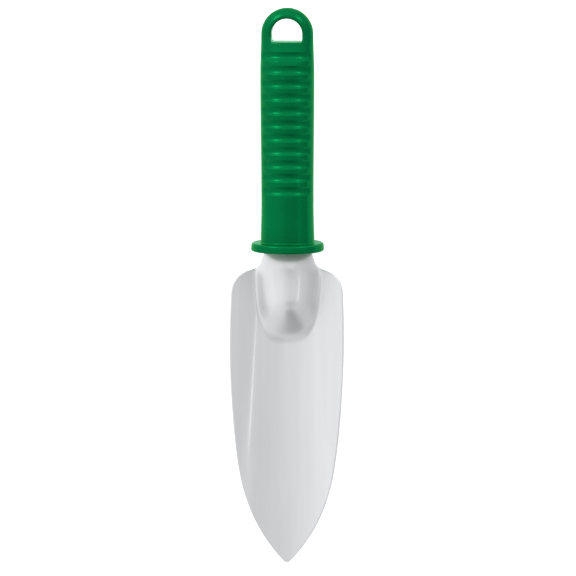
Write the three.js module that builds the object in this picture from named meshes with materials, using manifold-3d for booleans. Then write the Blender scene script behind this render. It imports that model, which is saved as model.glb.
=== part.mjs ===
// Hand trowel: a pressed steel blade whose tang is pushed into a one-piece moulded handle.
// Millimetres, +Z up. The trowel lies on its back with the hollow of the blade upwards:
// the tip points along -Y and the hang loop along +Y. Blade and handle are each drawn in a
// frame of their own and then placed, so the crank and the resting pitch are single angles.

import * as THREE from 'three';
import { mergeVertices } from 'three/addons/utils/BufferGeometryUtils.js';
import Module from 'manifold-3d';

const { degToRad, lerp, smoothstep } = THREE.MathUtils;

// ---- Blade: x across, y along from the tip, z up out of the dish ----------------------------
const sheetThickness = 1.5;
const bladeMaxHalfWidth = 31.4;
const widestStation = 121; // where the blade is widest
const shoulderStation = 146.6; // where the side starts to turn in to the shoulder
const neckStation = 164.8; // where the shoulders have run into the neck
const tangStation = 182; // where the neck has narrowed to the tang
const tangEnd = 232;
const neckHalfWidth = 15;
const tangHalfWidth = 9.5;
const tangTaper = 0.5; // by which its end is narrower on each side

const dishTipRadius = 62; // of the dish at the tip, where it is a single arc
const dishFloorRadius = 80; // of the shallow floor of the dish at its heel
const dishBendRadius = 14; // of the bends there between the floor and the straight walls
const dishHeelStation = 140; // where the floor and the bends have these radii
const dishFloorAngle = degToRad(10); // of the slope where the floor runs into a bend
const dishWallAngle = degToRad(29); // of the slope of the walls

const ridgeHeight = 11.5; // of the raised neck above the floor of the dish
const ridgeToe = 120.5; // where the ridge has run out into the dish
const ridgeFull = 145; // where it has its whole height
const crestFallStart = 161; // where its crest starts to fall towards the tang
const crestFallEnd = 176;
const tangHeight = 8.4;
const ridgeHalfWidth = 18.2;
const ridgeWidestStation = 156;
const ridgeTongueLength = 41; // of the rounded end of the ridge, seen from above
const ridgeTongueShown = 0.98; // share of that length over which the foot is drawn in
const ridgeTangMargin = 0.5; // of the foot of the ridge past the edge of the tang
const ridgeFootFillet = 0.2; // softness of the crease along the foot, as a share of the height
const ridgeBell = 1.2; // exponent that draws the flanks of the tongue in, where 1 is a plain arch
const plainArchStation = 172; // where the neck has become a plain arch

const crankAngle = degToRad(5); // of the handle up from the line of the blade
const crankStart = 154;
const crankEnd = 172;

// ---- Handle: x across, y along from the underside of the collar, z up through the grip -------
const collarStation = 171.8; // of the collar's underside along the blade's line
const axisHeight = 7.2; // of the handle's axis there, above the floor of the dish
const handleLength = 132.6;
const sectionPower = 2.15; // exponent of the rounded sections

const collarThickness = 4.5;
const collarHalfWidth = 20.1;
const collarHalfDepth = 17.6;
const collarTaper = 0.4; // by which its top edge is smaller than its bottom edge
const collarRound = 1.2; // of its edges
const collarFillet = 0.9; // where the grip stands on it

const gripHalfWidth = 14.25; // at the waist
const gripHalfDepth = 11.5;
const waistStation = 28;
const bellyStation = 94;
const bellySwell = 0.45; // added to the half-width at the belly
const collarFlare = 0.4; // added towards the collar
const flareEnd = 24;

const grooveCount = 11;
const groovePitch = 7.31;
const firstGroove = 33.65;
const grooveWidth = 4.8;
const grooveDepth = 1.15;
const grooveFadeStart = 0.72; // of the half-width of the grip, where a groove starts to run out
const grooveFadeEnd = 0.98;

const loopHalfWidth = 14.2;
const loopCentre = handleLength - loopHalfWidth; // of the round end
const loopHalfDepth = 7.6;
const loopThinningStart = 97; // where the grip starts to thin towards the loop
const holeHalfWidth = 8.4;
const holeFloor = 114.3;

const socketDepth = 64;
const socketLeadIn = 2; // depth over which the mouth closes in to the fit
const socketMouthClearance = 1.1;
const socketClearance = 0.6;
const socketRoof = 3.8; // above the handle's axis at the mouth
const socketRoofInside = 3.4;
const socketFloor = 7.2; // below the handle's axis
const socketSpring = -2.3; // where its arched roof springs from, from the handle's axis

// ---- How finely the rounded shapes are faceted ------------------------------------------------
const stepsAcrossBlade = 26;
const stepsRoundHandle = 36;
const stepsAlongPlainGrip = 5;
const stepsBesideHole = 4;
const stepsAlongRoundEnd = 8;
const roundEndShown = 0.93; // share of the quarter turn at which the last ring of the end stands
const stepsRoundHole = 14;
const stepsAcrossSocket = 12;

const wasm = await Module();
wasm.setup();

// ---- Helpers ------------------------------------------------------------------------------------

// A block whose vertices are carried to new places. Across runs -1 to 1, row counts from 0 at the
// near end, and side is -1 below and 1 above.
function shapedBlock(acrossSteps, rows, place) {
  const block = new THREE.BoxGeometry(2, 1, 2, acrossSteps, rows - 1, 1);
  const points = block.attributes.position;
  for (let i = 0; i < points.count; i += 1) {
    const row = Math.round((points.getY(i) + 0.5) * (rows - 1));
    const spot = place(points.getX(i), row, points.getZ(i));
    points.setXYZ(i, spot.x, spot.y, spot.z);
  }
  return block;
}

// A round bar along y whose rings are carried to new places. East and north are the ring's own
// unit coordinates, both 0 at the middle of an end.
function shapedBar(roundSteps, rows, place) {
  const bar = new THREE.CylinderGeometry(1, 1, 1, roundSteps, rows - 1);
  const points = bar.attributes.position;
  for (let i = 0; i < points.count; i += 1) {
    const row = Math.round((points.getY(i) + 0.5) * (rows - 1));
    const spot = place(points.getX(i), points.getZ(i), row);
    points.setXYZ(i, spot.x, spot.y, spot.z);
  }
  return bar;
}

// The same surface with each vertex held once.
function joined(geometry) {
  const bare = geometry.clone();
  bare.deleteAttribute('normal');
  bare.deleteAttribute('uv');
  return mergeVertices(bare, 1e-4);
}

function toSolid(geometry) {
  const closed = joined(geometry);
  return new wasm.Manifold(new wasm.Mesh({
    numProp: 3,
    vertProperties: new Float32Array(closed.attributes.position.array),
    triVerts: new Uint32Array(closed.index.array),
  }));
}

function toGeometry(solid) {
  const mesh = solid.getMesh();
  const geometry = new THREE.BufferGeometry();
  geometry.setAttribute('position', new THREE.BufferAttribute(mesh.vertProperties, 3));
  geometry.setIndex(new THREE.BufferAttribute(mesh.triVerts, 1));
  geometry.computeVertexNormals();
  return geometry;
}

// The larger of two values, with the corner between them rounded over a band.
function roundedMax(a, b, band) {
  const overlap = Math.max(band - Math.abs(a - b), 0) / band;
  return Math.max(a, b) + overlap * overlap * band / 4;
}

// ---- Blade --------------------------------------------------------------------------------------

// Half of the blank's outline, as points (station, half-width) from the tip to the end of the tang.
function bladeOutline() {
  const at = (station, halfWidth) => new THREE.Vector2(station, halfWidth);
  const tip = new THREE.QuadraticBezierCurve(at(0, 0.6), at(0.1, 1.3), at(0.6, 1.8));
  const point = new THREE.CubicBezierCurve(at(0.6, 1.8), at(14.6, 15.2), at(28.4, 20.5), at(39.7, 23.8));
  const side = new THREE.CubicBezierCurve(
    at(39.7, 23.8), at(55.2, 28.4), at(95.7, bladeMaxHalfWidth), at(widestStation, bladeMaxHalfWidth),
  );
  const heel = new THREE.CubicBezierCurve(
    at(widestStation, bladeMaxHalfWidth), at(130, bladeMaxHalfWidth),
    at(138, 31.2), at(shoulderStation, 30.8),
  );
  const shoulder = new THREE.CubicBezierCurve(
    at(shoulderStation, 30.8), at(156.4, 30.6), at(159, 26.9), at(161.2, 19.7),
  );
  const fillet = new THREE.CubicBezierCurve(
    at(161.2, 19.7), at(161.7, 18.2), at(162.6, 15.9), at(neckStation, neckHalfWidth),
  );
  const neck = new THREE.CubicBezierCurve(
    at(neckStation, neckHalfWidth), at(169, 13.6), at(177, 10.2), at(tangStation, tangHalfWidth),
  );
  const tang = new THREE.LineCurve(at(tangStation, tangHalfWidth), at(tangEnd, tangHalfWidth - tangTaper));
  const stretches = [
    [tip, 2], [point, 7], [side, 8], [heel, 9], [shoulder, 9], [fillet, 4], [neck, 8], [tang, 5],
  ];
  const points = [tip.getPoint(0)];
  for (const [curve, steps] of stretches) {
    points.push(...curve.getPoints(steps).slice(1));
  }
  return points;
}

// How high an arc has risen at a distance from its lowest point.
function arcRise(radius, distance) {
  return radius - Math.sqrt(radius ** 2 - distance ** 2);
}

// The pressed trough: a shallow floor, a bend on each side and straight walls, all of which open
// out into one arc towards the tip.
function dishHeight(x, station) {
  const towardsHeel = Math.min(station / dishHeelStation, 1);
  const floorRadius = lerp(dishTipRadius, dishFloorRadius, towardsHeel);
  const bendRadius = lerp(dishTipRadius, dishBendRadius, towardsHeel);
  const bendStart = bendRadius * Math.sin(dishFloorAngle);
  const bendEnd = bendRadius * Math.sin(dishWallAngle);
  const onFloor = Math.min(Math.abs(x), floorRadius * Math.sin(dishFloorAngle));
  const onBend = Math.min(Math.abs(x) - onFloor, bendEnd - bendStart);
  const onWall = Math.abs(x) - onFloor - onBend;
  const bendRise = arcRise(bendRadius, bendStart + onBend) - arcRise(bendRadius, bendStart);
  return arcRise(floorRadius, onFloor) + bendRise + onWall * Math.tan(dishWallAngle);
}

// Half the width of the ridge at its foot: a rounded tongue in the dish, then the neck and tang.
function ridgeFoot(station) {
  if (station > ridgeWidestStation) {
    const narrowing = smoothstep(station, ridgeWidestStation, tangStation);
    return lerp(ridgeHalfWidth, tangHalfWidth + ridgeTangMargin, narrowing);
  }
  const fromWidest = Math.min((ridgeWidestStation - station) / ridgeTongueLength, ridgeTongueShown);
  return ridgeHalfWidth * Math.sqrt(1 - fromWidest ** 2);
}

// The raised neck: an arch that draws in to a bell and runs out into the dish at its toe.
function ridgeRise(x, station) {
  const grown = ridgeHeight * smoothstep(station, ridgeToe, ridgeFull);
  const crest = grown - (ridgeHeight - tangHeight) * smoothstep(station, crestFallStart, crestFallEnd);
  const arch = roundedMax(1 - (x / ridgeFoot(station)) ** 2, 0, ridgeFootFillet);
  return crest * arch ** lerp(ridgeBell, 1, smoothstep(station, ridgeFull, plainArchStation));
}

// The line of the sheet, straight along the dish and turned up by the crank after it.
function crankRise(station) {
  const bend = crankEnd - crankStart;
  const into = Math.min(Math.max(station - crankStart, 0), bend);
  const past = Math.max(station - crankEnd, 0);
  return Math.tan(crankAngle) * (into ** 2 / (2 * bend) + past);
}

function sheetPoint(x, station) {
  const z = dishHeight(x, station) + ridgeRise(x, station) + crankRise(station);
  return new THREE.Vector3(x, station, z);
}

// The sheet's upward normal, from points a small step to each side.
function sheetNormal(x, station) {
  const step = 0.05;
  const across = sheetPoint(x + step, station).sub(sheetPoint(x - step, station));
  const along = sheetPoint(x, station + step).sub(sheetPoint(x, station - step));
  return across.cross(along).normalize();
}

function bladeGeometry() {
  const outline = bladeOutline();
  const place = (across, row, side) => {
    const { x: station, y: halfWidth } = outline[row];
    // One face of a leaning edge stands out past the middle of the sheet, and the outline holds it.
    const lean = Math.abs(sheetNormal(halfWidth, station).x);
    const x = across * (halfWidth - lean * sheetThickness / 2);
    return sheetPoint(x, station).addScaledVector(sheetNormal(x, station), side * sheetThickness / 2);
  };
  return joined(shapedBlock(stepsAcrossBlade, outline.length, place));
}

// ---- Handle -------------------------------------------------------------------------------------

// Half-width and half-depth of the plain grip, without its grooves.
function gripSize(station) {
  const belly = smoothstep(station, waistStation, bellyStation);
  const flare = collarFlare * (1 - smoothstep(station, collarThickness, flareEnd));
  const towardsLoop = smoothstep(station, loopThinningStart, loopCentre);
  const width = gripHalfWidth + bellySwell * belly + flare;
  const depth = gripHalfDepth + bellySwell * belly + flare;
  return {
    halfWidth: lerp(width, loopHalfWidth, towardsLoop),
    halfDepth: lerp(depth, loopHalfDepth, towardsLoop),
  };
}

// The rings of the collar, from its underside to the ledge where the grip stands on it.
function collarRings() {
  const rings = [];
  const edgeSteps = 3;
  const addRing = (station, inset) => rings.push({
    station,
    halfWidth: collarHalfWidth - inset,
    halfDepth: collarHalfDepth - inset,
  });
  for (let i = 0; i <= edgeSteps; i += 1) {
    const turn = (i / edgeSteps) * Math.PI / 2;
    addRing(collarRound * (1 - Math.cos(turn)), collarRound * (1 - Math.sin(turn)));
  }
  for (let i = edgeSteps; i >= 0; i -= 1) {
    const turn = (i / edgeSteps) * Math.PI / 2;
    const inset = collarTaper + collarRound * (1 - Math.sin(turn));
    addRing(collarThickness - collarRound * (1 - Math.cos(turn)), inset);
  }
  const { halfWidth, halfDepth } = gripSize(collarThickness);
  for (let i = 0; i < edgeSteps; i += 1) {
    const turn = (i / edgeSteps) * Math.PI / 2;
    const outset = collarFillet * (1 - Math.sin(turn));
    const station = collarThickness + collarFillet * (1 - Math.cos(turn));
    rings.push({ station, halfWidth: halfWidth + outset, halfDepth: halfDepth + outset });
  }
  return rings;
}

// Stations along the grip: closer together over each groove and over the round end.
function gripStations() {
  const stations = [];
  const addPlain = (from, to, steps, first) => {
    for (let i = first; i < steps; i += 1) {
      stations.push(lerp(from, to, i / steps));
    }
  };
  addPlain(collarThickness + collarFillet, firstGroove - grooveWidth / 2, stepsAlongPlainGrip, 0);
  for (let groove = 0; groove < grooveCount; groove += 1) {
    const middle = firstGroove + groove * groovePitch;
    for (const share of [-0.5, -0.3, 0, 0.3, 0.5]) {
      stations.push(middle + share * grooveWidth);
    }
  }
  const lastEdge = firstGroove + (grooveCount - 1) * groovePitch + grooveWidth / 2;
  addPlain(lastEdge, loopCentre, stepsBesideHole, 1);
  for (let i = 0; i <= stepsAlongRoundEnd; i += 1) {
    const turn = (i / stepsAlongRoundEnd) * roundEndShown * Math.PI / 2;
    stations.push(loopCentre + loopHalfWidth * Math.sin(turn));
  }
  return stations;
}

// The ring of the grip at a station. Past the loop's centre the outline is round.
function gripRing(station) {
  const size = gripSize(station);
  const pastCentre = Math.max(station - loopCentre, 0) / loopHalfWidth;
  return {
    station,
    halfWidth: size.halfWidth * Math.sqrt(1 - pastCentre ** 2),
    halfDepth: size.halfDepth * (1 - pastCentre ** sectionPower) ** (1 / sectionPower),
  };
}

// How deep the finger grooves are at a station: shallow round scallops with plain lands between.
function grooveAt(station) {
  const nearest = Math.round((station - firstGroove) / groovePitch);
  const groove = Math.min(Math.max(nearest, 0), grooveCount - 1);
  const offCentre = 2 * (station - firstGroove - groove * groovePitch) / grooveWidth;
  return grooveDepth * Math.max(1 - offCentre ** 2, 0);
}

// A point on a ring: a rounded section, with the grooves cut into its front and back faces only.
function ringPoint(east, north, ring) {
  const power = 2 / sectionPower;
  const x = ring.halfWidth * Math.sign(east) * Math.abs(east) ** power;
  const z = ring.halfDepth * Math.sign(north) * Math.abs(north) ** power;
  const fade = 1 - smoothstep(Math.abs(x) / ring.halfWidth, grooveFadeStart, grooveFadeEnd);
  return new THREE.Vector3(x, ring.station, z - Math.sign(z) * fade * grooveAt(ring.station));
}

function handleBody() {
  const rings = [...collarRings(), ...gripStations().map(gripRing)];
  const place = (east, north, row) => ringPoint(east, north, rings[row]);
  return shapedBar(stepsRoundHandle, rings.length, place);
}

// The hang hole: a flat floor, straight sides and a round top, right through the end.
function hangHole() {
  const shape = new THREE.Shape();
  shape.moveTo(-holeHalfWidth, holeFloor);
  shape.lineTo(holeHalfWidth, holeFloor);
  shape.lineTo(holeHalfWidth, loopCentre);
  shape.absarc(0, loopCentre, holeHalfWidth, 0, Math.PI, false);
  shape.closePath();
  const depth = 4 * loopHalfDepth;
  const settings = { depth, curveSegments: stepsRoundHole, bevelEnabled: false };
  const hole = new THREE.ExtrudeGeometry(shape, settings);
  return hole.translate(0, 0, -depth / 2);
}

// The blind socket for the tang: flat floor and arched roof, with a lead-in at its mouth.
function tangSocket() {
  const closed = tangStation - collarStation;
  const rows = [-1, 0, socketLeadIn, closed / 2, closed, socketDepth];
  const place = (across, row, side) => {
    const station = rows[row];
    const closing = smoothstep(station, neckStation - collarStation, closed);
    const inside = Math.min(Math.max(station, 0) / socketLeadIn, 1);
    const fit = lerp(socketMouthClearance, socketClearance, inside);
    const halfWidth = lerp(neckHalfWidth, tangHalfWidth, closing) + fit;
    const roof = lerp(socketRoof, socketRoofInside, closing) + fit;
    const arch = roof * Math.sqrt(Math.max(1 - across ** 2, 0));
    const z = side > 0 ? socketSpring + (arch * (roof - socketSpring)) / roof : -socketFloor - fit;
    return new THREE.Vector3(across * halfWidth, station, z);
  };
  return shapedBlock(stepsAcrossSocket, rows.length, place);
}

function handleGeometry() {
  const solid = toSolid(handleBody()).subtract(toSolid(hangHole())).subtract(toSolid(tangSocket()));
  return toGeometry(solid);
}

// ---- Materials ----------------------------------------------------------------------------------

const steelFinish = new THREE.MeshStandardMaterial({ color: '#d3d4d7', roughness: 0.28, metalness: 0.6 });
const greenPlastic = new THREE.MeshStandardMaterial({ color: '#00703c', roughness: 0.38, metalness: 0 });

// ---- Assembly -----------------------------------------------------------------------------------

function makeTrowel() {
  const trowel = new THREE.Group();
  const blade = new THREE.Mesh(bladeGeometry(), steelFinish);
  blade.name = 'blade';
  const handle = new THREE.Mesh(handleGeometry(), greenPlastic);
  handle.name = 'handle';
  handle.position.set(0, collarStation, axisHeight);
  handle.rotation.x = crankAngle;
  trowel.add(blade, handle);
  return trowel;
}

// The pitch at which the trowel rests on the underside of its tip and the lower edge of its collar.
function restingPitch() {
  const along = Math.cos(crankAngle);
  const up = Math.sin(crankAngle);
  const edgeStation = collarStation + collarRound * along + collarHalfDepth * up;
  const edgeHeight = axisHeight + collarRound * up - collarHalfDepth * along;
  return Math.atan2(-sheetThickness / 2 - edgeHeight, edgeStation);
}

// Laid on the ground, with the middle of its length over the origin.
function laidDown(trowel) {
  trowel.rotation.x = restingPitch();
  trowel.updateMatrixWorld(true);
  const bounds = new THREE.Box3().setFromObject(trowel, true);
  const middle = bounds.getCenter(new THREE.Vector3());
  trowel.position.set(-middle.x, -middle.y, -bounds.min.z);
  return trowel;
}

const group = laidDown(makeTrowel());

export default group;
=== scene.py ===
"""Hand trowel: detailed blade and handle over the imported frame, with a plain studio around them."""
import math

import bpy
import numpy as np
from mathutils import Matrix, Vector


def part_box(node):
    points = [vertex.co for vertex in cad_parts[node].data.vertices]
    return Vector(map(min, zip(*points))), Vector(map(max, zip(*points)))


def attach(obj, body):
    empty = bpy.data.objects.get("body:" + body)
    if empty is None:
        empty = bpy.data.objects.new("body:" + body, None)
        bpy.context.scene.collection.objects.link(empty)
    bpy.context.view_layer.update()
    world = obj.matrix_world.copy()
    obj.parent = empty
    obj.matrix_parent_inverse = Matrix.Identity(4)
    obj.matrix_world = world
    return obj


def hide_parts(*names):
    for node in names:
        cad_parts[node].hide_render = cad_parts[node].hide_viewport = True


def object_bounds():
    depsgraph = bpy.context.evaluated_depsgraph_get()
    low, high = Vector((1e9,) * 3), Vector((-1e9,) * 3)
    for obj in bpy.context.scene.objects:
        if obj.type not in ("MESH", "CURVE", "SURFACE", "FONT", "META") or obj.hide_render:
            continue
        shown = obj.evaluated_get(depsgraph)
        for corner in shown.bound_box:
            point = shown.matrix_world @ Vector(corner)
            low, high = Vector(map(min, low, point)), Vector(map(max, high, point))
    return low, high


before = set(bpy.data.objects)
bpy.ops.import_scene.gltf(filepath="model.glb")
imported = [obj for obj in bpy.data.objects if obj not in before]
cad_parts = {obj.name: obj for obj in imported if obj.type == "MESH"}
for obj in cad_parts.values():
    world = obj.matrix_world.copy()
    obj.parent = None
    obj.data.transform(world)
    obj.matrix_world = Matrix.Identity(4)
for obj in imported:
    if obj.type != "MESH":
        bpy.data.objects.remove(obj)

CAD_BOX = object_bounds()
MM = 0.001

# ---- Driving dimensions, in millimetres and radians --------------------------------------------------
# Blade: stations are measured from the tip along the blade.
SHEET_THICKNESS = 1.5
BLADE_MAX_HALF_WIDTH = 31.4
WIDEST_STATION = 121
SHOULDER_STATION = 146.6
SHOULDER_HALF_WIDTH = 30.8
NECK_STATION = 164.8
NECK_HALF_WIDTH = 15
TANG_STATION = 182
TANG_HALF_WIDTH = 9.5
TANG_END = 232
TANG_TAPER = 0.5
CRANK_ANGLE = math.radians(5)
CRANK_START = 154
CRANK_END = 172

DISH_TIP_RADIUS = 62
DISH_FLOOR_RADIUS = 80
DISH_BEND_RADIUS = 14
DISH_HEEL_STATION = 140
DISH_FLOOR_ANGLE = math.radians(10)
DISH_WALL_ANGLE = math.radians(29)

RIDGE_HEIGHT = 11.5
RIDGE_TOE = 120.5
RIDGE_FULL = 145
CREST_FALL_START = 161
CREST_FALL_END = 176
TANG_HEIGHT = 8.4
RIDGE_HALF_WIDTH = 18.2
RIDGE_WIDEST_STATION = 156
RIDGE_TONGUE_LENGTH = 41
RIDGE_TONGUE_SHOWN = 0.98
RIDGE_TANG_MARGIN = 0.5
RIDGE_FOOT_FILLET = 0.2
RIDGE_BELL = 1.2
PLAIN_ARCH_STATION = 172

# Handle: stations are measured from the underside of the collar along the handle's axis.
COLLAR_STATION = 171.8
AXIS_HEIGHT = 7.2
HANDLE_LENGTH = 132.6
SECTION_POWER = 2.15
COLLAR_THICKNESS = 4.5
COLLAR_HALF_WIDTH = 20.1
COLLAR_HALF_DEPTH = 17.6
COLLAR_TAPER = 0.4
COLLAR_ROUND = 1.2
COLLAR_FILLET = 0.9
GRIP_HALF_WIDTH = 14.25
GRIP_HALF_DEPTH = 11.5
WAIST_STATION = 28
BELLY_STATION = 94
BELLY_SWELL = 0.45
COLLAR_FLARE = 0.4
FLARE_END = 24
GROOVE_COUNT = 11
GROOVE_PITCH = 7.31
FIRST_GROOVE = 33.65
GROOVE_WIDTH = 4.8
GROOVE_DEPTH = 1.15
GROOVE_FADE_START = 0.72
GROOVE_FADE_END = 0.98
LOOP_HALF_WIDTH = 14.2
LOOP_CENTRE = HANDLE_LENGTH - LOOP_HALF_WIDTH
LOOP_HALF_DEPTH = 7.6
LOOP_THINNING_START = 97
HOLE_HALF_WIDTH = 8.4
HOLE_FLOOR = 114.3
SOCKET_DEPTH = 64
SOCKET_LEAD_IN = 2
SOCKET_MOUTH_CLEARANCE = 1.1
SOCKET_CLEARANCE = 0.6
SOCKET_ROOF = 3.8
SOCKET_ROOF_INSIDE = 3.4
SOCKET_FLOOR = 7.2
SOCKET_SPRING = -2.3

# ---- Detail that only the visual model has, in millimetres -------------------------------------------
SHEET_EDGE_ROUND = 0.35
EDGE_TURNS = [math.radians(angle) for angle in (18, 36, 54, 72, 90)]
FACE_STRIPS = 2
NOSE_STEPS = 12
NOSE_FADING = 8.0
BLADE_COLUMNS = 96
SHEET_SLOPE_STEP = 0.05

HANDLE_CELL = 0.42
CELLS_AROUND = 1.3
RELAXING_ROUNDS = 2
SETTLING_ROUNDS = 3
FIELD_SLOPE_STEP = 0.01
LEAST_SLOPE_SQUARED = 0.05
GRIP_START = 2.0
GROOVE_RIM_ROUND = 0.12
GROOVE_SIDE_START = 1.0
GROOVE_SIDE_END = 5.0
LOOP_END_MARGIN = 0.01
HOLE_CORNER_ROUND = 0.8
HOLE_FLOOR_RIM_ROUND = 0.9
HOLE_RIM_ROUND = 2.2
HOLE_RIM_GROWTH_START = HOLE_FLOOR + 0.5
HOLE_RIM_GROWTH_END = HOLE_FLOOR + 3.5
SOCKET_CORNER_ROUND = 0.5
SOCKET_END_ROUND = 0.8
SOCKET_RIM_ROUND = 0.4
SMALL_REACH = 1e-4
SMALL_RATIO = 1e-3
NEARLY_ZERO = 1e-12

# ---- Colours -----------------------------------------------------------------------------------------
GREEN_DARK = (0.001, 0.107, 0.031, 1)
GREEN_LIGHT = (0.001, 0.121, 0.036, 1)
GREEN_WORN = (0.002, 0.18, 0.06, 1)
GREEN_GLINT = (0.08, 1.0, 0.45, 1)
PLATED_LIGHT = (0.53, 0.535, 0.545, 1)
PLATED_DARK = (0.505, 0.51, 0.52, 1)
CUT_LIGHT = (0.5, 0.5, 0.51, 1)
CUT_DARK = (0.44, 0.44, 0.45, 1)
FLOOR_DARK = (0.74, 0.74, 0.74, 1)
FLOOR_LIGHT = (0.76, 0.76, 0.76, 1)
WHITE = (1, 1, 1, 1)

# ---- Studio, in metres and watts ---------------------------------------------------------------------
FLOOR_HALF = 3.0
FLOOR_DROP = 0.0002

# Name, place, the point it is aimed at, size and power.
LIGHTS = (
    ("left_softbox", (-0.9, 1.2, 1.2), (0, 0.1, 0), (0.6, 0.6), 8.0),
    ("right_softbox", (0.9, 1.2, 1.1), (0, 0.1, 0), (0.4, 0.4), 4.0),
    ("lamp", (0.79, -0.19, 0.89), (0, -0.04, 0), (0.12, 0.05), 0.062),
)

WORLD_STRENGTH = 1.1
WORLD_LEFT_TO_RIGHT = 0.12

# Direction, where the change starts and ends as cosines from it, and the factors before and after.
WORLD_PATCHES = (
    ((-1.0, 0.0, 0.0), 0.3, 0.85, 1.0, 1.13),
    ((1.0, 0.0, 0.0), 0.3, 0.85, 1.0, 0.93),
    ((1.0, 0.0, 0.1), 0.85, 1.0, 1.0, 0.7),
    ((0.13, -0.94, 0.33), 0.92, 0.99, 1.0, 0.25),
    ((0.22, -0.4, 0.89), 0.87, 0.99, 1.0, 0.55),
    ((0.24, -0.05, 0.97), 0.95, 0.995, 1.0, 1.25),
    ((0.0, 1.0, 0.35), 0.2, 0.8, 1.0, 1.6),
)

# The lens and the sensor are in millimetres. The camera looks down from a little to the right.
LENS = 250.0
SENSOR = 36.0
VIEW_HEIGHT = 0.3152
CAMERA_TARGET = (0.00005, -0.00056, 0.012)
CAMERA_OFFSET = math.radians(4.5)
CAMERA_ROLL = math.radians(0.57)
FAR_CLIP = 50


# ---- Helpers -----------------------------------------------------------------------------------------


def lerp(a, b, share):
    return a + (b - a) * share


def smoothstep(value, low, high):
    t = np.clip((value - low) / (high - low), 0.0, 1.0)
    return t * t * (3.0 - 2.0 * t)


def rounded_max(a, b, band):
    """The larger of two values, with the step between them smoothed over a band."""
    overlap = np.maximum(band - np.abs(a - b), 0.0) / band
    return np.maximum(a, b) + overlap**2 * band / 4.0


def unit(vectors):
    return vectors / np.maximum(np.linalg.norm(vectors, axis=-1, keepdims=True), NEARLY_ZERO)


def pitched(points, pitch):
    """Points turned about X, nose up by the pitch."""
    x, y, z = np.moveaxis(points, -1, 0)
    cos, sin = math.cos(pitch), math.sin(pitch)
    return np.stack([x, y * cos - z * sin, y * sin + z * cos], axis=-1)


def resting_pitch():
    """The pitch at which the trowel rests on its tip and the lower edge of its collar."""
    along, up = math.cos(CRANK_ANGLE), math.sin(CRANK_ANGLE)
    edge_station = COLLAR_STATION + COLLAR_ROUND * along + COLLAR_HALF_DEPTH * up
    edge_height = AXIS_HEIGHT + COLLAR_ROUND * up - COLLAR_HALF_DEPTH * along
    return math.atan2(-SHEET_THICKNESS / 2 - edge_height, edge_station)


RESTING_PITCH = resting_pitch()


def blade_origin():
    """Where the tip of the sheet's middle lies in the row frame, in millimetres."""
    low = np.array(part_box("blade")[0]) / MM
    half = SHEET_THICKNESS / 2
    y = low[1] + half * math.sin(RESTING_PITCH)
    z = low[2] + half * math.cos(RESTING_PITCH)
    return np.array([0.0, y, z])


def from_blade(points):
    """Points from the blade's own frame in the row frame."""
    return pitched(points, RESTING_PITCH) + blade_origin()


def from_handle(points):
    """Points from the handle's own frame in the row frame."""
    seat = from_blade(np.array([0.0, COLLAR_STATION, AXIS_HEIGHT]))
    return pitched(points, RESTING_PITCH + CRANK_ANGLE) + seat


def make_mesh(name, vertices, faces, normals, materials, face_slots=None):
    """A smooth object from vertices in millimetres, with a normal for each vertex."""
    mesh = bpy.data.meshes.new(name)
    mesh.from_pydata((vertices * MM).tolist(), [], faces.tolist())
    for material in materials:
        mesh.materials.append(material)
    if face_slots is not None:
        mesh.polygons.foreach_set("material_index", face_slots)
    mesh.polygons.foreach_set("use_smooth", np.ones(len(mesh.polygons), bool))
    mesh.update()
    mesh.normals_split_custom_set_from_vertices(normals.tolist())
    piece = bpy.data.objects.new(name, mesh)
    bpy.context.scene.collection.objects.link(piece)
    return piece


# ---- Blade -------------------------------------------------------------------------------------------


def arc_rise(radius, distance):
    """How high an arc has risen at a distance from its lowest point."""
    return radius - np.sqrt(radius**2 - distance**2)


def dish_height(x, station):
    """The dish: a nearly flat floor, a tighter bend and a straight leaning wall on each side."""
    to_heel = np.minimum(station / DISH_HEEL_STATION, 1.0)
    floor_radius = lerp(DISH_TIP_RADIUS, DISH_FLOOR_RADIUS, to_heel)
    bend_radius = lerp(DISH_TIP_RADIUS, DISH_BEND_RADIUS, to_heel)
    bend_start = bend_radius * math.sin(DISH_FLOOR_ANGLE)
    bend_end = bend_radius * math.sin(DISH_WALL_ANGLE)
    on_floor = np.minimum(np.abs(x), floor_radius * math.sin(DISH_FLOOR_ANGLE))
    on_bend = np.minimum(np.abs(x) - on_floor, bend_end - bend_start)
    on_wall = np.abs(x) - on_floor - on_bend
    bend_rise = arc_rise(bend_radius, bend_start + on_bend) - arc_rise(bend_radius, bend_start)
    return arc_rise(floor_radius, on_floor) + bend_rise + on_wall * math.tan(DISH_WALL_ANGLE)


def ridge_foot(station):
    """Half the width of the ridge at its foot: a rounded tongue, then a neck that narrows to the tang."""
    narrowing = smoothstep(station, RIDGE_WIDEST_STATION, TANG_STATION)
    neck = lerp(RIDGE_HALF_WIDTH, TANG_HALF_WIDTH + RIDGE_TANG_MARGIN, narrowing)
    from_widest = (RIDGE_WIDEST_STATION - station) / RIDGE_TONGUE_LENGTH
    tongue = RIDGE_HALF_WIDTH * np.sqrt(1.0 - np.clip(from_widest, 0.0, RIDGE_TONGUE_SHOWN) ** 2)
    return np.where(station > RIDGE_WIDEST_STATION, neck, tongue)


def ridge_rise(x, station):
    grown = RIDGE_HEIGHT * smoothstep(station, RIDGE_TOE, RIDGE_FULL)
    sinking = smoothstep(station, CREST_FALL_START, CREST_FALL_END)
    crest = grown - (RIDGE_HEIGHT - TANG_HEIGHT) * sinking
    arch = rounded_max(1.0 - (x / ridge_foot(station)) ** 2, 0.0, RIDGE_FOOT_FILLET)
    return crest * arch ** lerp(RIDGE_BELL, 1.0, smoothstep(station, RIDGE_FULL, PLAIN_ARCH_STATION))


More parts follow.
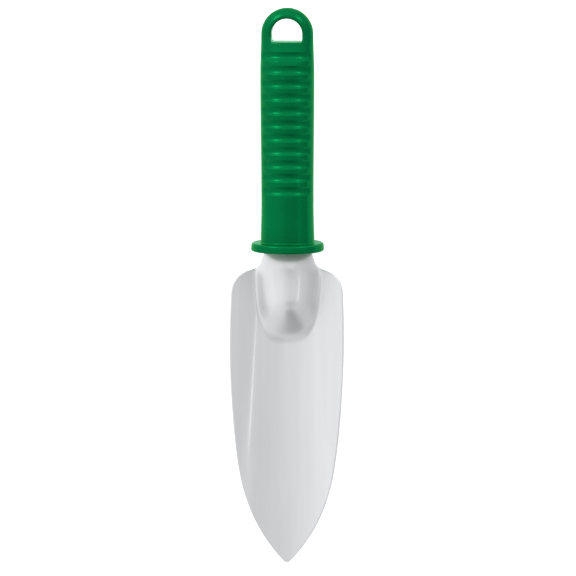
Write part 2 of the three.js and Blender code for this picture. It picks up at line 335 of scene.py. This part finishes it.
def crank_rise(station):
    bend = CRANK_END - CRANK_START
    into = np.clip(station - CRANK_START, 0.0, bend)
    past = np.maximum(station - CRANK_END, 0.0)
    return math.tan(CRANK_ANGLE) * (into**2 / (2 * bend) + past)


def sheet_point(x, station):
    z = dish_height(x, station) + ridge_rise(x, station) + crank_rise(station)
    return np.stack([x, station, z], axis=-1)


def sheet_normal(x, station):
    step = SHEET_SLOPE_STEP
    across = sheet_point(x + step, station) - sheet_point(x - step, station)
    along = sheet_point(x, station + step) - sheet_point(x, station - step)
    return unit(np.cross(across, along))


def curve(points, steps):
    """Points along a Bezier curve, without its first one."""
    t = np.linspace(0.0, 1.0, steps + 1)[1:, None]
    points = [np.array(p, float) for p in points]
    while len(points) > 1:
        points = [lerp(a, b, t) for a, b in zip(points, points[1:])]
    return points[0]


def blade_outline():
    """Half of the blank's outline, as (station, half-width), from the tip to the end of the tang."""
    widest = (WIDEST_STATION, BLADE_MAX_HALF_WIDTH)
    shoulder = (SHOULDER_STATION, SHOULDER_HALF_WIDTH)
    neck = (NECK_STATION, NECK_HALF_WIDTH)
    tang = (TANG_STATION, TANG_HALF_WIDTH)
    stretches = [
        ([(0, 0), (0, 1.226), (0.6, 1.8)], NOSE_STEPS),
        ([(0.6, 1.8), (14.6, 15.2), (28.4, 20.5), (39.7, 23.8)], 56),
        ([(39.7, 23.8), (55.2, 28.4), (95.7, BLADE_MAX_HALF_WIDTH), widest], 84),
        ([widest, (130, BLADE_MAX_HALF_WIDTH), (138, 31.2), shoulder], 26),
        ([shoulder, (156.4, 30.6), (159, 26.9), (161.2, 19.7)], 32),
        ([(161.2, 19.7), (161.7, 18.2), (162.6, 15.9), neck], 14),
        ([neck, (169, 13.6), (177, 10.2), tang], 24),
        ([tang, (TANG_END, TANG_HALF_WIDTH - TANG_TAPER)], 24),
    ]
    return np.concatenate([[[0.0, 0.0]]] + [curve(points, steps) for points, steps in stretches])


def inset_outline():
    """The outline of the sheet's middle surface, short of the outline by its rounded, leaning edge."""
    outline = blade_outline()
    ahead = unit(np.gradient(outline, axis=0))
    outward = np.stack([-ahead[:, 1], ahead[:, 0]], axis=-1)
    outward[0] = [-1.0, 0.0]
    normal = sheet_normal(outline[:, 1], outline[:, 0])
    lean = np.abs(normal[:, 1] * outward[:, 0] + normal[:, 0] * outward[:, 1])
    inset = (SHEET_THICKNESS / 2 - SHEET_EDGE_ROUND) * lean + SHEET_EDGE_ROUND
    moved = outline - outward * inset[:, None]
    moved[0, 1] = 0.0
    return moved


def blade_rows():
    """Positions across and along for the grid of the sheet: the first row follows the round nose."""
    line = inset_outline()
    nose, sides = line[: NOSE_STEPS + 1], line[NOSE_STEPS:]
    share = np.linspace(-1.0, 1.0, BLADE_COLUMNS + 1)
    x = sides[:, 1:2] * share[None, :]
    bow = nose[-1, 0] - np.interp(np.abs(share) * nose[-1, 1], nose[:, 1], nose[:, 0])
    fading = np.exp(-(sides[:, 0] - sides[0, 0]) / NOSE_FADING)
    station = sides[:, 0:1] - fading[:, None] * bow[None, :]
    return x, station


def rim_loop(rows, columns):
    """Grid indices round the edge: down the right side, round the nose, up the left side, back."""
    grid = np.arange(rows * columns).reshape(rows, columns)
    return np.concatenate([grid[:0:-1, -1], grid[0, :0:-1], grid[:-1, 0], grid[-1, :-1]])


def edge_rings(middle, normal):
    """Points and normals of the rings round the sheet's edge, from its top face to its underside."""
    travel = np.roll(middle, -1, axis=0) - np.roll(middle, 1, axis=0)
    outward = unit(np.cross(normal, travel))
    flat = SHEET_THICKNESS / 2 - SHEET_EDGE_ROUND
    points, normals = [], []
    for side, turns in ((1, EDGE_TURNS), (-1, EDGE_TURNS[::-1])):
        for turn in turns:
            rise = side * (flat + SHEET_EDGE_ROUND * math.cos(turn))
            reach = SHEET_EDGE_ROUND * math.sin(turn)
            points.append(middle + rise * normal + reach * outward)
            normals.append(side * math.cos(turn) * normal + math.sin(turn) * outward)
    return points, normals


def grid_faces(rows, columns):
    grid = np.arange(rows * columns).reshape(rows, columns)
    corners = [grid[:-1, :-1], grid[:-1, 1:], grid[1:, 1:], grid[1:, :-1]]
    return np.stack([corner.ravel() for corner in corners], axis=-1)


def strip_faces(ring, following):
    return np.stack([ring, np.roll(ring, -1), np.roll(following, -1), following], axis=-1)


def make_blade(steel, cut_steel):
    """The sheet's two faces, and the rounded edge between them with its middle strips of cut steel."""
    x, station = blade_rows()
    middle = sheet_point(x, station).reshape(-1, 3)
    normal = sheet_normal(x, station).reshape(-1, 3)
    half = SHEET_THICKNESS / 2
    loop = rim_loop(*x.shape)
    edge_points, edge_normals = edge_rings(middle[loop], normal[loop])
    points = np.concatenate([middle + half * normal, middle - half * normal] + edge_points)
    normals = unit(np.concatenate([normal, -normal] + edge_normals))

    first_ring = 2 * len(middle) + np.arange(len(loop))
    rings = [first_ring + len(loop) * i for i in range(len(edge_points))]
    rings = [loop] + rings + [loop + len(middle)]
    top = grid_faces(*x.shape)
    underside = top[:, ::-1] + len(middle)
    strips = [strip_faces(ring, following) for ring, following in zip(rings, rings[1:])]
    faces = np.concatenate([top, underside] + strips)
    slots = np.zeros(len(faces), np.int32)
    plated = FACE_STRIPS * len(loop)
    slots[2 * len(top) + plated : len(faces) - plated] = 1
    vertices = from_blade(points)
    normals = pitched(normals, RESTING_PITCH)
    return make_mesh("blade_sheet", vertices, faces, normals, [steel, cut_steel], slots)


# ---- Handle: a field that is negative inside, over (across, station, up) ----------------------------


def section(x, z, half_width, half_depth):
    """Signed distance from a rounded section, near enough."""
    ratio = (np.abs(x) / half_width) ** SECTION_POWER + (np.abs(z) / half_depth) ** SECTION_POWER
    size = ratio ** (1.0 / SECTION_POWER)
    reach = np.hypot(x, z)
    return reach - (reach + SMALL_REACH) / (size + SMALL_REACH / half_depth)


def rounded_and(a, b, radius):
    """Both at once, with the outer edge between them rounded."""
    inner = np.minimum(np.maximum(a + radius, b + radius), 0.0)
    return inner + np.hypot(np.maximum(a + radius, 0.0), np.maximum(b + radius, 0.0)) - radius


def rounded_or(a, b, radius):
    """Either one, with a fillet in the corner between them."""
    outer = np.maximum(np.minimum(a, b), radius)
    return outer - np.hypot(np.maximum(radius - a, 0.0), np.maximum(radius - b, 0.0))


def grip_size(station):
    """Half-width and half-depth of the grip, without its grooves."""
    belly = BELLY_SWELL * smoothstep(station, WAIST_STATION, BELLY_STATION)
    flare = COLLAR_FLARE * (1.0 - smoothstep(station, COLLAR_THICKNESS, FLARE_END))
    to_loop = smoothstep(station, LOOP_THINNING_START, LOOP_CENTRE)
    half_width = lerp(GRIP_HALF_WIDTH + belly + flare, LOOP_HALF_WIDTH, to_loop)
    half_depth = lerp(GRIP_HALF_DEPTH + belly + flare, LOOP_HALF_DEPTH, to_loop)
    return half_width, half_depth


def groove_at(station):
    """How deep the nearest groove is at a station."""
    nearest = np.clip(np.round((station - FIRST_GROOVE) / GROOVE_PITCH), 0, GROOVE_COUNT - 1)
    off_centre = 2.0 * (station - FIRST_GROOVE - nearest * GROOVE_PITCH) / GROOVE_WIDTH
    return GROOVE_DEPTH * rounded_max(1.0 - off_centre**2, 0.0, GROOVE_RIM_ROUND)


def grip_field(x, station, z):
    half_width, half_depth = grip_size(station)
    fade = 1.0 - smoothstep(np.abs(x) / half_width, GROOVE_FADE_START, GROOVE_FADE_END)
    fade = fade * smoothstep(np.abs(z), GROOVE_SIDE_START, GROOVE_SIDE_END)
    across = np.hypot(x, np.maximum(station + LOOP_END_MARGIN - LOOP_CENTRE, 0.0))
    side = section(across, np.abs(z) + fade * groove_at(station), half_width, half_depth)
    return np.maximum(side, GRIP_START - station)


def collar_field(x, station, z):
    inset = COLLAR_TAPER * np.clip(station / COLLAR_THICKNESS, 0.0, 1.0)
    side = section(x, z, COLLAR_HALF_WIDTH - inset, COLLAR_HALF_DEPTH - inset)
    face = np.abs(station - COLLAR_THICKNESS / 2) - COLLAR_THICKNESS / 2
    return rounded_and(side, face, COLLAR_ROUND)


def hole_field(x, station):
    side = np.hypot(x, np.maximum(station - LOOP_CENTRE, 0.0)) - HOLE_HALF_WIDTH
    return rounded_and(side, HOLE_FLOOR - station, HOLE_CORNER_ROUND)


def socket_field(x, station, z):
    closing = smoothstep(station, NECK_STATION - COLLAR_STATION, TANG_STATION - COLLAR_STATION)
    entry = np.clip(station / SOCKET_LEAD_IN, 0.0, 1.0)
    fit = lerp(SOCKET_MOUTH_CLEARANCE, SOCKET_CLEARANCE, entry)
    half_width = lerp(NECK_HALF_WIDTH, TANG_HALF_WIDTH, closing) + fit
    rise = lerp(SOCKET_ROOF, SOCKET_ROOF_INSIDE, closing) + fit - SOCKET_SPRING
    up = np.maximum(z - SOCKET_SPRING, 0.0)
    size = np.hypot(x / half_width, up / rise)
    reach = np.hypot(x, up) + SMALL_REACH
    arch = reach * (1.0 - 1.0 / np.maximum(size, SMALL_RATIO))
    around = rounded_and(arch, -SOCKET_FLOOR - fit - z, SOCKET_CORNER_ROUND)
    return rounded_and(around, station - SOCKET_DEPTH, SOCKET_END_ROUND)


def handle_field(points):
    """The whole handle: grip and collar together, less the hang hole and the socket."""
    x, station, z = np.moveaxis(points, -1, 0)
    body = rounded_or(grip_field(x, station, z), collar_field(x, station, z), COLLAR_FILLET)
    growth = smoothstep(station, HOLE_RIM_GROWTH_START, HOLE_RIM_GROWTH_END)
    hole_rim = lerp(HOLE_FLOOR_RIM_ROUND, HOLE_RIM_ROUND, growth)
    body = rounded_and(body, -hole_field(x, station), hole_rim)
    return rounded_and(body, -socket_field(x, station, z), SOCKET_RIM_ROUND)


def field_slope(field, points):
    slope = np.empty_like(points)
    for axis in range(3):
        shift = np.zeros(3)
        shift[axis] = FIELD_SLOPE_STEP
        slope[:, axis] = (field(points + shift) - field(points - shift)) / (2 * FIELD_SLOPE_STEP)
    return slope


def settled(field, points, limit):
    """Points moved onto the surface where the field is zero."""
    for _ in range(SETTLING_ROUNDS):
        slope = field_slope(field, points)
        steepness = np.maximum((slope**2).sum(1, keepdims=True), LEAST_SLOPE_SQUARED)
        along = field(points)[:, None] * slope / steepness
        length = np.linalg.norm(along, axis=1, keepdims=True)
        points = points - along * np.minimum(1.0, limit / np.maximum(length, NEARLY_ZERO))
    return points


def grid_values(field, low, high, cell):
    """The field at the corners of a grid of cells, one layer at a time."""
    counts = np.ceil((high - low) / cell).astype(int) + 1
    axes = [low[i] + cell * np.arange(counts[i]) for i in range(3)]
    layers = [np.stack(np.meshgrid([x], axes[1], axes[2], indexing="ij"), axis=-1) for x in axes[0]]
    return np.stack([field(layer)[0] for layer in layers])


def crossings(values, axis):
    """Where the surface crosses the grid's edges along an axis, and which of the edges leave the solid.

    The ring holds, for each crossed edge, the four cells around it in turn.
    """
    near = [slice(None)] * 3
    far = [slice(None)] * 3
    near[axis], far[axis] = slice(None, -1), slice(1, None)
    start, end = values[tuple(near)], values[tuple(far)]
    index = np.argwhere((start < 0) != (end < 0))
    first, second = start[tuple(index.T)], end[tuple(index.T)]
    spots = index.astype(float)
    spots[:, axis] += first / (first - second)
    strides = np.array([values.shape[1] * values.shape[2], values.shape[2], 1])
    ring = []
    for back_b, back_c in ((1, 1), (0, 1), (0, 0), (1, 0)):
        around = index.copy()
        around[:, (axis + 1) % 3] -= back_b
        around[:, (axis + 2) % 3] -= back_c
        ring.append(around @ strides)
    return spots, ring, first < 0


def field_surface(field, low, high, cell):
    """A quad mesh of the surface where the field is zero, one vertex to each cell it crosses."""
    values = grid_values(field, low, high, cell)
    cells, spots, quads = [], [], []
    for axis in range(3):
        crossing, ring, leaving = crossings(values, axis)
        quad = np.stack(ring, axis=-1)
        quad[~leaving] = quad[~leaving][:, ::-1]
        quads.append(quad)
        cells += ring
        spots += [crossing] * len(ring)
    ids, lookup = np.unique(np.concatenate(cells), return_inverse=True)
    spots = np.concatenate(spots)
    share = np.bincount(lookup)
    places = np.stack([np.bincount(lookup, spots[:, i]) / share for i in range(3)], axis=-1)
    faces = np.searchsorted(ids, np.concatenate(quads))
    return low + places * cell, faces


def relaxed(points, faces):
    """Each vertex moved to the middle of its neighbours."""
    a, b = faces.ravel(), np.roll(faces, -1, axis=1).ravel()
    ends, others = np.concatenate([a, b]), np.concatenate([b, a])
    share = np.bincount(ends, minlength=len(points))
    total = [np.bincount(ends, points[others, i], minlength=len(points)) for i in range(3)]
    return np.stack(total, axis=-1) / share[:, None]


def make_handle(plastic):
    margin = CELLS_AROUND * HANDLE_CELL
    low = np.array([-COLLAR_HALF_WIDTH, 0.0, -COLLAR_HALF_DEPTH]) - margin
    high = np.array([COLLAR_HALF_WIDTH, HANDLE_LENGTH, COLLAR_HALF_DEPTH]) + margin
    points, faces = field_surface(handle_field, low, high, HANDLE_CELL)
    for _ in range(RELAXING_ROUNDS):
        points = settled(handle_field, relaxed(points, faces), HANDLE_CELL)
    normals = pitched(unit(field_slope(handle_field, points)), RESTING_PITCH + CRANK_ANGLE)
    return make_mesh("handle_moulding", from_handle(points), faces, normals, [plastic])


# ---- Materials -----------------------------------------------------------------------------------------


class Nodes:
    """A node tree, built up with short calls."""

    def __init__(self, tree):
        self.tree = tree
        self.coordinates = self.node("ShaderNodeTexCoord").outputs

    def node(self, kind, sockets=(), **settings):
        made = self.tree.nodes.new(kind)
        for key, value in settings.items():
            setattr(made, key, value)
        for key, value in dict(sockets).items():
            self.feed(made.inputs[key], value)
        return made

    def feed(self, socket, value):
        if isinstance(value, bpy.types.NodeSocket):
            self.tree.links.new(value, socket)
        else:
            socket.default_value = value

    def band(self, value, low, high, to_low=0.0, to_high=1.0, **settings):
        sockets = {"Value": value, "From Min": low, "From Max": high, "To Min": to_low, "To Max": to_high}
        return self.node("ShaderNodeMapRange", sockets, **settings).outputs["Result"]

    def maths(self, operation, *values):
        return self.node("ShaderNodeMath", enumerate(values), operation=operation).outputs[0]


class Shader(Nodes):
    """A material's node tree."""

    def __init__(self, name):
        self.material = bpy.data.materials.new(name)
        self.material.use_nodes = True
        super().__init__(self.material.node_tree)
        self.surface = self.tree.nodes["Principled BSDF"]
        self.place = self.coordinates["Object"]

    def mapped(self, scale, turn=0.0):
        sockets = {"Vector": self.place, "Scale": scale, "Rotation": (0.0, 0.0, turn)}
        return self.node("ShaderNodeMapping", sockets).outputs["Vector"]

    def noise(self, vector, scale, detail=2.0, roughness=0.5):
        sockets = {"Vector": vector, "Scale": scale, "Detail": detail, "Roughness": roughness}
        return self.node("ShaderNodeTexNoise", sockets).outputs["Fac"]

    def blend(self, share, a, b):
        made = self.node("ShaderNodeMix", data_type="RGBA")
        shown = {socket.name: socket for socket in made.inputs if socket.enabled}
        for key, value in (("Factor", share), ("A", a), ("B", b)):
            self.feed(shown[key], value)
        return [socket for socket in made.outputs if socket.enabled][0]

    def bump(self, height, strength, distance):
        sockets = {"Height": height, "Strength": strength, "Distance": distance}
        return self.node("ShaderNodeBump", sockets)

    def set(self, **sockets):
        for key, value in sockets.items():
            self.feed(self.surface.inputs[key.replace("_", " ")], value)


def plastic_material():
    """Green all through, mottled in its gloss, a little paler on the edges that stand out."""
    shader = Shader("handle_green_plastic")
    cloud = shader.noise(shader.place, scale=45.0, detail=3.0)
    mottle = shader.noise(shader.place, scale=420.0)
    grain = shader.noise(shader.place, scale=2600.0, roughness=0.6)
    wear = shader.node("ShaderNodeNewGeometry").outputs["Pointiness"]
    worn = shader.band(wear, low=0.52, high=0.62, to_high=0.35)
    tone = shader.blend(shader.band(cloud, low=0.35, high=0.65), GREEN_DARK, GREEN_LIGHT)
    colour = shader.blend(worn, tone, GREEN_WORN)
    rough = shader.band(mottle, low=0.3, high=0.7, to_low=0.23, to_high=0.29)
    shader.set(Base_Color=colour, Roughness=rough, IOR=1.5, Specular_IOR_Level=0.03)
    shader.set(Metallic=0.5, Specular_Tint=GREEN_GLINT)
    fine = shader.bump(grain, strength=0.12, distance=0.00005)
    wide = shader.bump(mottle, strength=0.08, distance=0.0001)
    shader.feed(wide.inputs["Normal"], fine.outputs["Normal"])
    shader.set(Normal=wide.outputs["Normal"])
    return shader.material


def steel_material(name, light, dark, dulling, coat):
    """Rolled sheet with fine lines along the blade and two families of scratches."""
    shader = Shader(name)
    rolling = shader.noise(shader.mapped((900.0, 14.0, 900.0)), scale=1.0, detail=4.0, roughness=0.6)
    streaks = shader.noise(shader.mapped((160.0, 5.0, 160.0)), scale=1.0)
    cloud = shader.noise(shader.place, scale=30.0, detail=3.0)
    fine_a = shader.noise(shader.mapped((2600.0, 30.0, 400.0), turn=0.35), scale=1.0, detail=1.0)
    fine_b = shader.noise(shader.mapped((2300.0, 26.0, 400.0), turn=-0.5), scale=1.0, detail=1.0)
    scratch = shader.band(shader.maths("MAXIMUM", fine_a, fine_b), low=0.74, high=0.8)
    tone = shader.blend(shader.band(streaks, low=0.35, high=0.65), light, dark)
    rough = shader.band(cloud, low=0.3, high=0.7, to_low=0.3, to_high=0.36)
    rough = shader.maths("ADD", rough, shader.maths("MULTIPLY", scratch, 0.12))
    rough = shader.maths("ADD", rough, dulling)
    rolled = shader.bump(rolling, strength=0.05, distance=0.00006)
    scratched = shader.bump(scratch, strength=0.04, distance=0.00003)
    shader.feed(scratched.inputs["Normal"], rolled.outputs["Normal"])
    shader.set(Base_Color=tone, Roughness=rough, Metallic=0.6, Normal=scratched.outputs["Normal"])
    shader.set(Coat_Weight=coat, Coat_Roughness=0.08, Coat_IOR=1.7)
    return shader.material


# ---- Studio ------------------------------------------------------------------------------------------


def make_floor():
    shader = Shader("studio_floor")
    tone = shader.noise(shader.place, scale=6.0)
    colour = shader.blend(tone, FLOOR_DARK, FLOOR_LIGHT)
    shader.set(Base_Color=colour, Roughness=0.8, Specular_IOR_Level=0.2)
    shader.set(Emission_Color=WHITE, Emission_Strength=0.6)
    mesh = bpy.data.meshes.new("floor")
    corners = [(-1, -1, 0), (1, -1, 0), (1, 1, 0), (-1, 1, 0)]
    mesh.from_pydata((FLOOR_HALF * np.array(corners)).tolist(), [], [(0, 1, 2, 3)])
    mesh.materials.append(shader.material)
    floor = bpy.data.objects.new("floor", mesh)
    floor.location.z = CAD_BOX[0][2] - FLOOR_DROP
    bpy.context.scene.collection.objects.link(floor)


def make_light(name, place, target, size, power):
    data = bpy.data.lights.new(name, "AREA")
    data.shape = "RECTANGLE"
    data.size, data.size_y = size
    data.energy = power
    light = bpy.data.objects.new(name, data)
    light.location = place
    light.rotation_euler = (Vector(target) - Vector(place)).to_track_quat("-Z", "Y").to_euler()
    light.visible_camera = False
    bpy.context.scene.collection.objects.link(light)


def make_world():
    """Soft white light from all round, brighter or darker in a few broad patches."""
    world = bpy.data.worlds.new("studio")
    world.use_nodes = True
    nodes = Nodes(world.node_tree)
    direction = nodes.coordinates["Generated"]
    across = nodes.node("ShaderNodeSeparateXYZ", {0: direction}).outputs["X"]
    strength = nodes.maths("MULTIPLY_ADD", across, -WORLD_LEFT_TO_RIGHT, 1.0)
    strength = nodes.maths("MULTIPLY", strength, WORLD_STRENGTH)
    for toward, start, end, before, after in WORLD_PATCHES:
        sockets = {0: direction, 1: unit(toward)}
        facing = nodes.node("ShaderNodeVectorMath", sockets, operation="DOT_PRODUCT").outputs["Value"]
        factor = nodes.band(facing, start, end, before, after, interpolation_type="SMOOTHSTEP")
        strength = nodes.maths("MULTIPLY", strength, factor)
    background = nodes.tree.nodes["Background"]
    nodes.feed(background.inputs["Strength"], strength)
    nodes.feed(background.inputs["Color"], WHITE)
    bpy.context.scene.world = world


def make_camera():
    data = bpy.data.cameras.new("camera")
    data.lens = LENS
    data.sensor_width = SENSOR
    data.clip_end = FAR_CLIP
    data.dof.use_dof = False
    camera = bpy.data.objects.new("camera", data)
    distance = VIEW_HEIGHT / SENSOR * LENS
    away = Vector((math.sin(CAMERA_OFFSET), 0.0, math.cos(CAMERA_OFFSET)))
    camera.location = Vector(CAMERA_TARGET) + distance * away
    lean = Matrix.Rotation(CAMERA_OFFSET, 4, "Y")
    roll = Matrix.Rotation(CAMERA_ROLL, 4, "Z")
    camera.rotation_euler = (lean @ roll).to_euler()
    bpy.context.scene.collection.objects.link(camera)
    bpy.context.scene.camera = camera


# ---- Assembly --------------------------------------------------------------------------------------------

make_camera()
make_world()
for light in LIGHTS:
    make_light(*light)
make_floor()

plated = steel_material("blade_plated_steel", PLATED_LIGHT, PLATED_DARK, dulling=0.0, coat=1.0)
cut = steel_material("blade_cut_edge", CUT_LIGHT, CUT_DARK, dulling=0.1, coat=0.0)
blade = make_blade(plated, cut)
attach(blade, "root")
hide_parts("blade")

handle = make_handle(plastic_material())
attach(handle, "root")
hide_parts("handle")

bpy.context.scene.view_settings.view_transform = "Standard"
